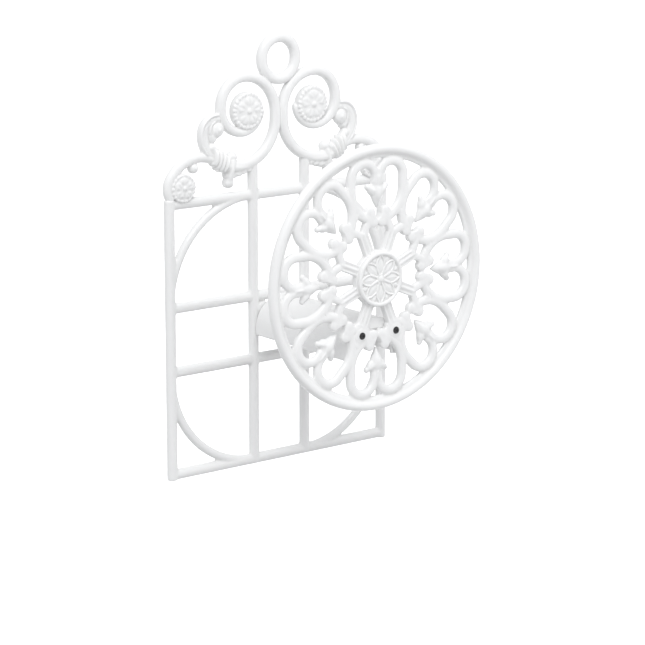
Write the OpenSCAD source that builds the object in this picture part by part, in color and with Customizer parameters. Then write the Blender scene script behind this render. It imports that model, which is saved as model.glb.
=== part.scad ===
// Wall holder in ornamental ironwork: a bar frame with a scrolled crest,
// an arched saddle that carries the load, and a pierced round disc in front.
// +Z is up, the front faces -Y and the wall is the plane Y = 0.
// The origin is the axis of the hanging eye, on the wall.
// Pieces in pairs are drawn on the right side (+X) and mirrored to the left.

/* [Frame] */
// Outer width of the frame
frame_w = 280; // [270:1:300]
// Height from the axis of the bottom rail to the axis of the top rail
frame_h = 274; // [262:1:290]
// Height of the upper middle rail over the bottom rail
mid_high = 170; // [166:1:176]
// Height of the lower middle rail over the bottom rail
mid_low = 105; // [90:1:112]
// Distance between the axes of the two inner bars
inner_gap = 65; // [60:1:70]
// Width of the frame's bars
bar_w = 11; // [9:0.5:12]
// Depth of the frame's bars, from the wall to their rounded front
bar_t = 8; // [7:0.5:9]
// Width of the corner arcs
corner_w = 9; // [7:0.5:10]
// Depth of the corner arcs
corner_t = 7; // [6:0.5:7.5]

/* [Crest] */
// Width of the rods that form the scrolls
rod_w = 10.5; // [9.5:0.5:11]
// Depth of the rods that form the scrolls
rod_t = 8.5; // [8:0.5:9]
// Radius of the first quarter of a volute, beside the middle line
volute_r1 = 38.5; // [37:0.5:40]
// Radius of its second quarter, on the outer side
volute_r2 = 29; // [28:0.5:30]
// Radius of its third quarter, at the bottom
volute_r3 = 26.5; // [26:0.5:27]
// Radius of its last turn, round the rosette
volute_r4 = 23.5; // [23:0.5:24]
// Radius of the tail that sweeps outwards from the middle line
tail_r = 45; // [44:0.5:46]
// Straight stretch between a tail and its volute
neck_h = 5; // [3:0.5:7]
// Height of a tail's lowest point over the axis of the top rail
crest_lift = 31; // [28:0.5:33]
// Radius of the rosettes inside the volutes
rosette_r = 19.5; // [19:0.5:20]
// Radius of the rosettes on the shoulders
shoulder_rosette_r = 14; // [13:0.5:14.5]
// Radius of the round turn of a shoulder scroll
shoulder_turn_r = 17; // [16.5:0.5:18]
// Outer radius of the ribs of a collar
collar_r = 11.5; // [11:0.5:12.5]
// Length of a collar along the stem that it wraps
collar_len = 16; // [15:0.5:18]
// Radius of the stem of the leaf curl
curl_stem_r = 26; // [25.5:0.5:27]
// Radius of the buds above and below the stem
bud_r = 7; // [6:0.5:7.5]

/* [Hanging eye] */
// Radius of the hole in the hanging eye
eye_hole_r = 15.5; // [13:0.5:17]
// Width of the ring round that hole
eye_ring_w = 11; // [9:0.5:12]
// Depth of that ring
eye_ring_t = 9; // [8:0.5:10]

/* [Saddle] */
// Clear depth between the frame's front and the disc's back
reach = 148.5; // [120:0.5:180]
// Outer radius of the arch
arch_r = 34; // [33:0.5:36]
// Thickness of the arch
arch_t = 3; // [2:0.5:3.5]
// Straight legs below the half circle
arch_leg = 6; // [4:0.5:12]
// Height of the arch's crown over the axis of the upper middle rail
crown_rise = 0.5; // [-2:0.5:4]
// Width of the flanges at both ends of the arch
flange_w = 12; // [11:0.5:13]
// Thickness of those flanges
flange_t = 4; // [3:0.5:5]

/* [Disc] */
// Outer radius of the disc
disc_r = 131.5; // [130:0.5:140]
// Width of the round rim
rim_w = 10; // [9:0.5:12]
// Depth of the round rim
rim_t = 9; // [8:0.5:9.5]
// Width of the ledge inside the rim
ledge_w = 4; // [3:0.5:5]
// Depth of that ledge
ledge_t = 5; // [4:0.5:6]
// Height of the disc's centre over the screws that hold it
disc_rise = 54; // [53:0.5:54.5]
// Radius of the hub
hub_r = 28; // [26:0.5:29]
// Depth of the hub
hub_t = 8; // [8:0.5:9]
// Width of the spokes
spoke_w = 11; // [9:0.5:12]
// Depth of the spokes and knuckles
spoke_t = 7.5; // [7:0.1:7.8]
// Width of the heart scrolls
heart_w = 9.5; // [8.5:0.5:10]
// Depth of the heart scrolls
heart_t = 7; // [6.5:0.5:7.5]
// Radius of the round sides of a heart
heart_r = 31; // [30.5:0.5:31.5]
// Depth of the lily in a heart
lily_t = 6; // [5:0.5:7]

/* [Fasteners] */
// Diameter of the screws
screw_d = 4; // [3:0.5:4]
// Diameter of the screw heads
head_d = 7.2; // [6.8:0.2:8]
// Height of the screw heads
head_h = 2.6; // [2:0.2:2.8]
// Clearance on the diameter of the screw holes in the disc and the frame
hole_play = 0.5; // [0.3:0.1:1]

/* [Hidden] */
$fn = 128;
// Share of a bar's width that is the radius of its rounded front
crown = 0.58;
// How much slimmer a rod gets where it turns into a curl, and the angle by which the
// slimmer stretch starts inside the thicker one
turn_taper = 0.8;
join_lap = 3;
// How far cutting shapes run past what they cut
over = 1;
// Large enough to hold any half of the model
huge = 400;

side_x = frame_w/2 - bar_w/2;
inner_x = inner_gap/2;
lap = bar_t/2;
corner_r = side_x - inner_x;

// How far rods and rings that touch run into each other before they are parted
bite = 1.2;
stem_x = rod_w/2 - bite/2;
tail_z = frame_h + crest_lift + tail_r;
neck_z = tail_z + neck_h;
volute_x = stem_x + volute_r1;
tail_x = stem_x + tail_r;
bud_turn = -75;
spray_turn = -101;
turn2_z = neck_z + volute_r1 - volute_r2;
turn3_x = volute_x + volute_r2 - volute_r3;
turn4_z = turn2_z - volute_r3 + volute_r4;
volute_end = -176;
rosette_t = 7;
rosette_x = turn3_x - 5;
rosette_z = turn4_z - 2;
eye_out = eye_hole_r + eye_ring_w;
eye_reach = volute_r1 + rod_w/2 + eye_out - bite;
eye_z = neck_z + sqrt(eye_reach*eye_reach - volute_x*volute_x);

// The collar sits on the tail at this angle below the horizontal
collar_turn = -58;
collar_x = tail_x + tail_r*cos(collar_turn);
collar_z = tail_z + tail_r*sin(collar_turn);
collar_dir = 90 + collar_turn;
collar_ribs = 3;
collar_y = 2;
collar_in = 2.2;
fork_x = collar_x + collar_len/2*cos(collar_dir);
fork_z = collar_z + collar_len/2*sin(collar_dir);
curl_w = 10;
curl_t = 8;
curl_start = -65;
curl_x = fork_x - curl_stem_r*cos(curl_start);
curl_z = fork_z - curl_stem_r*sin(curl_start);
// The curl turns back until it leans on the volute
curl_side = volute_r3 + rod_w/2;
curl_end_x = turn3_x + sqrt(curl_side*curl_side - (turn2_z - curl_z)*(turn2_z - curl_z))
             + curl_w/2 - 0.2;
curl_r = (curl_x + curl_stem_r - curl_end_x)/2;
curl_top_x = curl_x + curl_stem_r - curl_r;
curl_eye_r = 8;

// The shoulder scroll turns round its rosette above the frame's corner
shoulder_w = 11;
shoulder_t = 8;
shoulder_join = 30;
shoulder_from = 115;
shoulder_start = 122;
shoulder_end = -36;
shoulder_in = 15.5;
turn_x = side_x - shoulder_in;
turn_z = frame_h + bar_w/2 + 10;
shoulder_r = (turn_x + shoulder_turn_r*cos(shoulder_join) - fork_x - 2)
             / (cos(shoulder_join) - cos(shoulder_from));
shoulder_x = turn_x - (shoulder_r - shoulder_turn_r)*cos(shoulder_join);
shoulder_z = turn_z - (shoulder_r - shoulder_turn_r)*sin(shoulder_join);
knob_r = 6;
knob_turn = 78;

// The screws are tapped into both flanges, just inside the arch, this far under its crown
screw_drop = 14.5;
crown_z = mid_high + crown_rise;
disc_z = crown_z - screw_drop + disc_rise;
screw_z = disc_z - disc_rise;
arch_z = crown_z - arch_r;
flange_mid = arch_r - arch_t - screw_d/2 - 0.2;
screw_x = sqrt(flange_mid*flange_mid - (screw_z - arch_z)*(screw_z - arch_z));
arch_y0 = bar_t;
arch_y1 = bar_t + reach;
lug_r = 7.5;
lug_back = 3;
hole_d = screw_d + hole_play;
shank_over = 1.5;
socket_af = 3;
socket_deep = 1.6;
head_sink = 1.2;

// One eighth of the disc, in millimetres from its centre
sectors = 8;
sector = 360/sectors;
knuckle_u = sqrt(disc_rise*disc_rise + screw_x*screw_x);
knuckle_r = 17;
knuckle_hole = 7.5;
knuckle_shift = 1;
arm_v = 17;
arm_w = 17;
arm_end = 15;
bump_r = 5.2;
bump_u = 5;
heart_u = 88;
heart_v = 1.2;
heart_turn = 15;
heart_hook = -115;
heart_from = 90;
heart_to = 162;
lily_u = 86;
lily_lobe_r = 22;
lily_lobe_off = 13.5;
barb_r = 11.8;
barb_off = 8.2;
barb_tilt = 55;
barb_u = 1.5;
barb_v = 7.8;
lily_belly = 6.5;
stem_w = 11;
stem_t = lily_t - 0.6;
stem_u0 = 92;
stem_u1 = 104;
rim_in = disc_r - rim_w - ledge_w;
heart_foot = knuckle_u + knuckle_shift + arm_w/2;
// The straight stretch of a heart brings its turn against the rim's ledge
heart_run = rim_in - heart_u - heart_turn - heart_w/2 + 1;
petals = 8;
medal_t = 1.5;
boss_t = hub_t;

// Sections and bars: flat at the wall, rounded in front

module bar_section(w, t) {
    intersection() {
        translate([0, t - w*crown]) circle(r = w*crown);
        translate([-w/2, 0]) square([w, t]);
    }
}

module upright(x, z0, z1, w, t) {
    translate([x, 0, z0]) mirror([0, 1, 0]) linear_extrude(z1 - z0) bar_section(w, t);
}

module crossbar(z, x0, x1, w, t) {
    translate([x0, 0, z]) mirror([0, 1, 0]) rotate([0, 90, 0])
        linear_extrude(x1 - x0) bar_section(w, t);
}

// A bar bent to an arc in the plane of the wall, from angle a0 to angle a1
module arc_bar(x, z, r, a0, a1, w, t) {
    translate([x, 0, z]) rotate([90, 0, 0]) rotate([0, 0, a0])
        rotate_extrude(angle = a1 - a0) translate([r, 0]) bar_section(w, t);
}

// A disc or peg whose axis runs straight out from the wall, from depth y0 to y1
module peg(x, z, r, y0, y1) {
    translate([x, -y0, z]) rotate([90, 0, 0]) cylinder(r = r, h = y1 - y0);
}

// A ball centred at depth y whose back is cut flat at the wall
module half_ball(x, z, r, y) {
    translate([x, 0, z]) rotate([90, 0, 0]) rotate_extrude() intersection() {
        translate([0, y]) circle(r = r);
        square([r + over, y + r + over]);
    }
}

// Children seen from the hanging eye, which is the origin
module placed() {
    translate([0, 0, -eye_z]) children();
}

module mirrored() {
    mirror([1, 0, 0]) children();
}

module front_half() {
    translate([-huge, -huge, -huge]) cube([2*huge, huge - lap, 2*huge]);
}

module back_half() {
    translate([-huge, -lap, -huge]) cube([2*huge, huge, 2*huge]);
}

// Frame

module side_bar_shape() {
    upright(side_x, -bar_w/2, frame_h + bar_w/2, bar_w, bar_t);
}

module rail_shape(z) {
    crossbar(z, -side_x, side_x, bar_w, bar_t);
}

module inner_bar_shape() {
    upright(inner_x, 0, frame_h + crest_lift, bar_w, bar_t);
}

module both_sides() {
    children();
    mirrored() children();
}

// A rail is coped to the side bars and halved behind the inner bars
module rail(z) {
    color("white") placed() difference() {
        rail_shape(z);
        both_sides() side_bar_shape();
        both_sides() intersection() {
            inner_bar_shape();
            front_half();
        }
    }
}

module bottom_rail() {
    color("white") placed() difference() {
        rail_shape(0);
        both_sides() side_bar_shape();
    }
}

module right_side_bar() {
    color("white") placed() side_bar_shape();
}

// The inner bar runs in front of the rails, stands on the bottom rail and carries
// the lug that the saddle is screwed to
module right_inner_bar() {
    color("white") placed() difference() {
        union() {
            inner_bar_shape();
            peg(screw_x, screw_z, lug_r, lug_back, bar_t);
            translate([screw_x, -bar_t, screw_z - lug_r])
                cube([inner_x - screw_x, bar_t - lug_back, 2*lug_r]);
        }
        rail_shape(0);
        for (z = [mid_low, mid_high, frame_h])
            intersection() {
                rail_shape(z);
                back_half();
            }
        peg(screw_x, screw_z, hole_d/2, -over, bar_t + over);
        tail_shape();
    }
}

// The corner arcs spring from the flanks of the side bars and die into the rails
module corner_arc(z, a0, z0, z1) {
    color("white") placed() intersection() {
        arc_bar(inner_x, z, corner_r, a0, a0 + 90, corner_w, corner_t);
        translate([0, -bar_t - over, z0]) cube([side_x - bar_w/2, bar_t + 2*over, z1 - z0]);
    }
}

module top_right_corner_arc() {
    corner_arc(frame_h - corner_r, 0, mid_high, frame_h - bar_w/2);
}

module bottom_right_corner_arc() {
    corner_arc(corner_r, -90, bar_w/2, mid_low);
}

// Crest

module eye_shape() {
    arc_bar(0, eye_z, eye_hole_r + eye_ring_w/2, 0, 360, eye_ring_w, eye_ring_t);
}

module hanging_eye() {
    color("white") placed() eye_shape();
}

module tail_shape() {
    arc_bar(tail_x, tail_z, tail_r, 180, 360 + collar_turn, rod_w, rod_t);
}

module volute_shape() {
    tail_shape();
    upright(stem_x, tail_z, neck_z, rod_w, rod_t);
    arc_bar(volute_x, neck_z, volute_r1, 90, 180, rod_w, rod_t);
    arc_bar(volute_x, turn2_z, volute_r2, 0, 90, rod_w, rod_t);
    arc_bar(turn3_x, turn2_z, volute_r3, -90, 0, rod_w, rod_t);
    arc_bar(turn3_x, turn4_z, volute_r4, volute_end, -90, rod_w, rod_t);
}

module right_volute() {
    color("white") placed() difference() {
        union() {
            volute_shape();
            half_ball(tail_x + (tail_r - 9)*cos(bud_turn), tail_z + (tail_r - 9)*sin(bud_turn),
                      bud_r, 3);
        }
        translate([-huge, -huge, 0]) cube([huge, 2*huge, 2*huge]);
        eye_shape();
        rosette_base();
        collar_shape();
    }
}

// A flower of round petals on a flat base with a raised edge
module flower(x, z, r, t, count) {
    petal_r = r*sin(180/count)*0.85;
    petal_out = r - petal_r - 0.4;
    peg(x, z, r, 0, t - 1.5);
    for (i = [0:count - 1])
        half_ball(x + petal_out*cos(i*360/count), z + petal_out*sin(i*360/count),
                  petal_r, t - 1.5);
    half_ball(x, z, r*0.28, t - 1);
}

module rosette_base() {
    peg(rosette_x, rosette_z, rosette_r, -over, rosette_t + 2*over);
}

module right_rosette() {
    color("white") placed() flower(rosette_x, rosette_z, rosette_r, rosette_t, 10);
}

// Three ribs and two cones of a wrapped binding, lying along the stem
module collar_shape() {
    intersection() {
        translate([collar_x, -collar_y, collar_z]) rotate([0, -collar_dir, 0])
            rotate([0, 90, 0]) {
                translate([0, 0, -collar_len/2]) cylinder(r = collar_r - collar_in, h = collar_len);
                for (i = [0:collar_ribs - 1])
                    translate([0, 0, (i - (collar_ribs - 1)/2)*collar_len/collar_ribs])
                        rotate_extrude() translate([collar_r - collar_in, 0])
                            circle(r = collar_in);
            }
        translate([0, -huge, 0]) cube([huge, huge, 2*huge]);
    }
}

module right_collar() {
    color("white") placed() collar_shape();
}

// A curl that is bound in with the stem and leans on the volute
module right_leaf_curl() {
    color("white") placed() difference() {
        union() {
            arc_bar(curl_x, curl_z, curl_stem_r, curl_start - 12, 0, curl_w, curl_t);
            arc_bar(curl_top_x, curl_z, curl_r, -join_lap, 180, curl_w - turn_taper,
                    curl_t - turn_taper/2);
            half_ball(curl_top_x - 5, curl_z + 3, curl_eye_r, 3);
        }
        peg(turn3_x, turn2_z, volute_r3 + rod_w/2, -over, curl_t + curl_eye_r);
        peg(shoulder_x, shoulder_z, shoulder_r + shoulder_w/2, -over, curl_t + over);
        collar_side();
    }
}

// A lobed leaf under the stem that ends in a bud
module right_leaf_spray() {
    color("white") placed() difference() {
        union() {
            arc_bar(tail_x, tail_z, tail_r + rod_w/2 + 1, -116, -72, 6, 6);
            for (i = [0:3])
                half_ball(tail_x + (tail_r + 6.5)*cos(spray_turn + 8*i),
                          tail_z + (tail_r + 6.5)*sin(spray_turn + 8*i), 4.1 + 0.35*i, 2.5);
            half_ball(tail_x + (tail_r + 15)*cos(bud_turn), tail_z + (tail_r + 15)*sin(bud_turn),
                      bud_r, 3);
        }
        peg(tail_x, tail_z, tail_r + rod_w/2, -over, rod_t + bud_r);
        translate([0, -huge/2, 0]) cube([inner_x + bar_w/2, huge, huge]);
    }
}

module right_shoulder_scroll() {
    knob_out = shoulder_r - shoulder_w/2 - knob_r + 1.5;
    color("white") placed() difference() {
        union() {
            arc_bar(shoulder_x, shoulder_z, shoulder_r, shoulder_join, shoulder_start,
                    shoulder_w, shoulder_t);
            arc_bar(turn_x, turn_z, shoulder_turn_r, shoulder_end, shoulder_join,
                    shoulder_w - turn_taper, shoulder_t - turn_taper/2);
            half_ball(shoulder_x + knob_out*cos(knob_turn),
                      shoulder_z + knob_out*sin(knob_turn), knob_r, 3);
        }
        peg(turn_x, turn_z, shoulder_rosette_r, -over, rosette_t + 2*over);
        collar_side();
        below_top();
    }
}

// The side of the fork that the collar lies on
module collar_side() {
    translate([fork_x, -rod_t - over, fork_z]) rotate([0, -collar_dir, 0])
        translate([-2*collar_len, 0, -collar_len])
            cube([2*collar_len, rod_t + 2*over, 2*collar_len]);
}

// Everything under the flat top that the rail and the side bars share
module below_top() {
    translate([inner_x, -rod_t - over, frame_h - bar_w])
        cube([side_x, rod_t + 2*over, 1.5*bar_w]);
}

module right_shoulder_rosette() {
    color("white") placed() difference() {
        flower(turn_x, turn_z, shoulder_rosette_r, rosette_t, 12);
        below_top();
    }
}

// Saddle and its screws

module arch_outline(r) {
    intersection() {
        translate([0, arch_z]) circle(r = r);
        translate([-r, arch_z]) square([2*r, r]);
    }
    translate([-r, arch_z - arch_leg]) square([2*r, arch_leg]);
}

module arch_band(r_out, r_in, y0, y1) {
    translate([0, -y0, 0]) rotate([90, 0, 0]) linear_extrude(y1 - y0) difference() {
        arch_outline(r_out);
        arch_outline(r_in);
        translate([-r_in, arch_z - arch_leg - over]) square([2*r_in, 2*over]);
    }
}

module saddle() {
    color("white") placed() difference() {
        union() {
            arch_band(arch_r, arch_r - arch_t, arch_y0, arch_y1);
            arch_band(arch_r, arch_r - flange_w, arch_y0, arch_y0 + flange_t);
            arch_band(arch_r, arch_r - flange_w, arch_y1 - flange_t, arch_y1);
        }
        for (s = [-1, 1]) {
            peg(s*screw_x, screw_z, screw_d/2, arch_y0 - over, arch_y0 + flange_t + over);
            peg(s*screw_x, screw_z, screw_d/2, arch_y1 - flange_t - over, arch_y1 + over);
        }
    }
}

// A screw with a socket in its head; it points from depth y0 towards depth y1
module screw(x, z, y0, y1, head) {
    difference() {
        union() {
            peg(x, z, screw_d/2, min(y0, y1), max(y0, y1));
            peg(x, z, head_d/2, min(y0, y0 + head), max(y0, y0 + head));
        }
        translate([x, -y0 - head, z]) rotate([90, 0, 0])
            translate([0, 0, head > 0 ? -socket_deep : -over])
                cylinder(d = socket_af/cos(30), h = socket_deep + over, $fn = 6);
    }
}

module frame_screws() {
    color("black") placed() for (s = [-1, 1])
        screw(s*screw_x, screw_z, lug_back, arch_y0 + flange_t + shank_over, -head_h);
}

module disc_screws() {
    color("black") placed() for (s = [-1, 1])
        screw(s*screw_x, screw_z, arch_y1 + boss_t - head_sink,
              arch_y1 - flange_t - shank_over, head_h);
}

// Disc: drawn round its own centre with its back at Y = 0, then set on the saddle

module on_saddle() {
    placed() translate([0, -arch_y1, disc_z]) children();
}

module turned(a) {
    rotate([0, -a, 0]) children();
}

// The rim is a round rod with a narrow flat at its back
module rim_shape() {
    rotate([90, 0, 0]) rotate_extrude() translate([disc_r - rim_w/2, 0]) intersection() {
        translate([0, rim_t - rim_w/2]) circle(r = rim_w/2);
        translate([-rim_w/2, 0]) square([rim_w, rim_t]);
    }
    rotate([90, 0, 0]) difference() {
        cylinder(r = disc_r - rim_w + 2*over, h = ledge_t);
        translate([0, 0, -over]) cylinder(r = rim_in, h = ledge_t + 2*over);
    }
}

module disc_rim() {
    color("white") on_saddle() rim_shape();
}

// A pointed leaf between two circles, along X, from depth y0 to depth y1
module leaf(r, off, y0, y1) {
    translate([0, -y0, 0]) rotate([90, 0, 0]) linear_extrude(y1 - y0) intersection() {
        translate([0, off]) circle(r = r);
        translate([0, -off]) circle(r = r);
    }
}

// The arms and rounded ends where a spoke forks; the hearts spring from its outer side
module knuckle(open) {
    difference() {
        union() {
            translate([knuckle_u + knuckle_shift, 0, 0]) rotate([90, 0, 0])
                cylinder(r = knuckle_r, h = spoke_t - 1, $fn = 4);
            translate([knuckle_u + knuckle_shift - arm_w/2, -spoke_t + 1, -arm_end])
                cube([arm_w, spoke_t - 1, 2*arm_end]);
            for (v = [-arm_v, arm_v], u = [-bump_u, bump_u])
                half_ball(knuckle_u + knuckle_shift + u, v, bump_r, 3);
        }
        translate([heart_foot, -spoke_t - over, -arm_v + bump_r])
            cube([knuckle_r, spoke_t + 2*over, 2*(arm_v - bump_r)]);
        if (open)
            translate([knuckle_u + knuckle_shift, over, 0]) rotate([90, 0, 0])
                cylinder(r = knuckle_hole, h = spoke_t + 2*over, $fn = 4);
    }
}

// The petals of the medallion: distance of their middle from the centre, length and width
petal_u = 13.5;
petal_l = 12.5;
petal_w = 8;

module disc_medallion() {
    color("white") on_saddle() {
        peg(0, 0, hub_r - 1, hub_t, hub_t + medal_t);
        rotate([90, 0, 0]) rotate_extrude() translate([hub_r - 3, hub_t + medal_t])
            circle(r = 1.5);
        for (i = [0:petals - 1])
            turned(i*360/petals) translate([petal_u, 0, 0])
                leaf(petal_l, petal_w, hub_t + medal_t/2, hub_t + medal_t + 2);
        translate([0, -hub_t, 0]) half_ball(0, 0, 4.5, medal_t);
    }
}

module disc_spider() {
    color("white") on_saddle() difference() {
        union() {
            peg(0, 0, hub_r, 0, hub_t);
            for (i = [0:sectors - 1]) turned(sector*(i + 0.5)) {
                crossbar(0, hub_r - 3, knuckle_u + knuckle_shift - knuckle_hole - 1, spoke_w, spoke_t);
                knuckle(i != 5 && i != 6);
            }
            for (s = [-1, 1]) peg(s*screw_x, -disc_rise, lug_r, 0, boss_t);
        }
        for (s = [-1, 1]) {
            peg(s*screw_x, -disc_rise, hole_d/2, -over, boss_t + over);
            peg(s*screw_x, -disc_rise, head_d/2 + hole_play/2, boss_t - head_sink,
                boss_t + over);
        }
    }
}

// Half of a heart, above its own axis: a round side that springs from the knuckle, then a
// round lobe at the rim that turns back along the stem of the lily
module heart_side() {
    intersection() {
        union() {
            arc_bar(heart_u, heart_v, heart_r, heart_from, heart_to, heart_w, heart_t);
            crossbar(heart_v + heart_r, heart_u, heart_u + heart_run, heart_w, heart_t);
            arc_bar(heart_u + heart_run, heart_v + heart_r - heart_turn, heart_turn, heart_hook,
                    90 + join_lap, heart_w - turn_taper, heart_t - turn_taper/2);
        }
        turned(sector/2) translate([heart_foot, -huge, -huge]) cube([huge, 2*huge, huge]);
    }
}

module lily() {
    translate([lily_u, 0, 0]) leaf(lily_lobe_r, lily_lobe_off, 0, lily_t);
    for (s = [-1, 1])
        translate([lily_u + barb_u, 0, s*barb_v]) turned(s*barb_tilt)
            leaf(barb_r, barb_off, 0, lily_t - 1);
    translate([stem_u0, -stem_t, -stem_w/2]) cube([stem_u1 - stem_u0, stem_t, stem_w]);
    half_ball(lily_u, 0, lily_belly, lily_t - 4);
}

// A heart fills one eighth of the disc, between the arms of two knuckles and the rim
module heart_scroll(i) {
    color("white") on_saddle() turned(sector*(i - 1) - 90) intersection() {
        union() {
            heart_side();
            mirror([0, 0, 1]) heart_side();
            lily();
        }
        peg(0, 0, rim_in, -over, heart_t + lily_belly);
    }
}

hanging_eye();
mirrored() right_side_bar();  // left_side_bar
right_side_bar();
rail(frame_h);  // top_rail
rail(mid_high);  // upper_mid_rail
rail(mid_low);  // lower_mid_rail
bottom_rail();
mirrored() right_inner_bar();  // left_inner_bar
right_inner_bar();
mirrored() top_right_corner_arc();  // top_left_corner_arc
top_right_corner_arc();
mirrored() bottom_right_corner_arc();  // bottom_left_corner_arc
bottom_right_corner_arc();
mirrored() right_volute();  // left_volute
right_volute();
mirrored() right_rosette();  // left_rosette
right_rosette();
mirrored() right_collar();  // left_collar
right_collar();
mirrored() right_leaf_curl();  // left_leaf_curl
right_leaf_curl();
mirrored() right_leaf_spray();  // left_leaf_spray
right_leaf_spray();
mirrored() right_shoulder_scroll();  // left_shoulder_scroll
right_shoulder_scroll();
mirrored() right_shoulder_rosette();  // left_shoulder_rosette
right_shoulder_rosette();
saddle();
frame_screws();
disc_rim();
disc_spider();
disc_medallion();
heart_scroll(1);  // heart_scroll_1
heart_scroll(2);  // heart_scroll_2
heart_scroll(3);  // heart_scroll_3
heart_scroll(4);  // heart_scroll_4
heart_scroll(5);  // heart_scroll_5
heart_scroll(6);  // heart_scroll_6
heart_scroll(7);  // heart_scroll_7
heart_scroll(8);  // heart_scroll_8
disc_screws();
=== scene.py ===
# %% [markdown]
# # An ornamental wall holder in cast iron
#
# A flat frame of bars hangs on the wall from a ring, and a scrolled crest grows out of its top.
# An arched saddle stands out from the frame. A pierced round disc is screwed to its front.
#
# The plain solids of all this are packed already. This lesson dresses them: it draws each casting
# again with the round edges, leaves and beads that a foundry pattern has, and gives it a finish.

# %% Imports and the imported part
import math

import bpy
import numpy as np
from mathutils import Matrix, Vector


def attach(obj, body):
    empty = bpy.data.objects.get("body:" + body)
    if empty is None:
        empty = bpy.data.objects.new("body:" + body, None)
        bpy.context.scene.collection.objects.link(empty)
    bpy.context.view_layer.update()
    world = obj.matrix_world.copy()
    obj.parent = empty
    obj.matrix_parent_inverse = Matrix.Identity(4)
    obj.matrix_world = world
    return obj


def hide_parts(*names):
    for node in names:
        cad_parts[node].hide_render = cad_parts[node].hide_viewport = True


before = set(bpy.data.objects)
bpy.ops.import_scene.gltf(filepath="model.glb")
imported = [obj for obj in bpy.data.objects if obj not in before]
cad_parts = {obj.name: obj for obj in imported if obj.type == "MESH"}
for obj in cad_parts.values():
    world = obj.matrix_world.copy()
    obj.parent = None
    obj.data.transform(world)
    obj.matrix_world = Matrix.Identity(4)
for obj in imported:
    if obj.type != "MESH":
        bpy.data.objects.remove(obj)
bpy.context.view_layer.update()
MM = 0.001
print("packed nodes:", len(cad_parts))

# %% [markdown]
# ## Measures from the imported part
#
# A fitter who dresses a part measures it first. Driving sizes are read from the boxes of the packed
# nodes and not typed again, so that the castings stay on their solids.
#
# X runs to the right. Depth runs out from the wall, which is Blender's -Y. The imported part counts
# z from the hanging ring, and heights here count from the axis of the bottom rail, as on a drawing.


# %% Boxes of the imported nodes
def read(items, field, width, kind=np.float32):
    """One field of a mesh's items as an array, with a row for each item."""
    out = np.empty(len(items)*width, kind)
    items.foreach_get(field, out)
    return out.reshape(-1, width)


def box(name):
    """Lowest and highest (x, depth, z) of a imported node, in millimetres from the ring."""
    points = read(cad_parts[name].data.vertices, "co", 3).astype(float)/MM*[1, -1, 1]
    return points.min(0).round(3), points.max(0).round(3)


def middle(name):
    """Middle of a node's box as (x, depth, height over the bottom rail)."""
    low, high = box(name)
    return ((low + high)/2 + [0, 0, EYE_Z]).round(3)


def wheel_radius(name):
    """Radius of a round node: the largest distance of its points from its middle line."""
    points = read(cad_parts[name].data.vertices, "co", 3).astype(float)/MM
    centre = (points.min(0) + points.max(0))/2
    return float(np.hypot(*(points - centre)[:, [0, 2]].T).max().round(3))


EYE_Z = float(-np.mean([corner[2] for corner in box("bottom_rail")]))
print("hanging ring's axis over the bottom rail: %.1f mm" % EYE_Z)

# %% The frame's bars
bar_low, bar_high = box("right_side_bar")
BAR_W, BAR_T = (bar_high - bar_low).round(3)[:2]
SIDE_X = middle("right_side_bar")[0]
INNER_X = box("right_inner_bar")[1][0] - BAR_W/2
RAILS = [middle(name)[2] for name in ("bottom_rail", "lower_mid_rail", "upper_mid_rail", "top_rail")]
print("bars %.1f x %.1f mm, side bars at %.1f, inner bars at %.1f" % (BAR_W, BAR_T, SIDE_X, INNER_X))
print("rails at", RAILS)

# %% The saddle, the disc and its screws
saddle_low, saddle_high = box("saddle")
ARCH_R = saddle_high[0]
CROWN_Z = saddle_high[2] + EYE_Z
ARCH_Z = CROWN_Z - ARCH_R
ARCH_LEG = ARCH_Z - (saddle_low[2] + EYE_Z)
SADDLE_Y0, SADDLE_Y1 = saddle_low[1], saddle_high[1]
DISC_Y, DISC_Z = box("disc_rim")[0][1], middle("disc_rim")[2]
DISC_R = wheel_radius("disc_rim")
HEAD_R = 3.6
SCREW_DX, SCREW_Z = box("disc_screws")[1][0] - HEAD_R, middle("disc_screws")[2]
print("saddle: radius %.1f, crown at %.1f, depth %.1f to %.1f" % (ARCH_R, CROWN_Z, SADDLE_Y0, SADDLE_Y1))
print("disc: radius %.1f, centre at %.1f, screws at +-%.2f, %.1f" % (DISC_R, DISC_Z, SCREW_DX, SCREW_Z))

# %% [markdown]
# ## Paths
#
# Nearly every member is a rod that follows a line in the plane of the wall. Blender's own curves
# could carry a section too. A path kept as an array of (x, z) points is simpler to cut, mirror and
# taper, so the lines are worked out here, about one point to a millimetre.


# %% Arcs and straight lines
def arc(cx, cz, r, a0, a1, step=1.0):
    """Points on a circle: x = cx + r cos a, z = cz + r sin a, with a from a0 to a1 in degrees."""
    n = max(3, int(abs(math.radians(a1 - a0))*r/step) + 1)
    a = np.radians(np.linspace(a0, a1, n))
    return np.c_[cx + r*np.cos(a), cz + r*np.sin(a)]


def ring_path(cx, cz, r):
    """A full circle, without the last point that would repeat the first."""
    return arc(cx, cz, r, 0, 360)[:-1]


def line(x0, z0, x1, z1, step=1.5):
    """Evenly spaced points on a straight line: p0 (1 - t) + p1 t, with t from 0 to 1."""
    n = max(2, int(math.hypot(x1 - x0, z1 - z0)/step) + 1)
    t = np.linspace(0, 1, n)[:, None]
    return np.array([[x0, z0]])*(1 - t) + np.array([[x1, z1]])*t


print("points on a quarter circle of 50 mm:", len(arc(0, 0, 50, 0, 90)))


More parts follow.
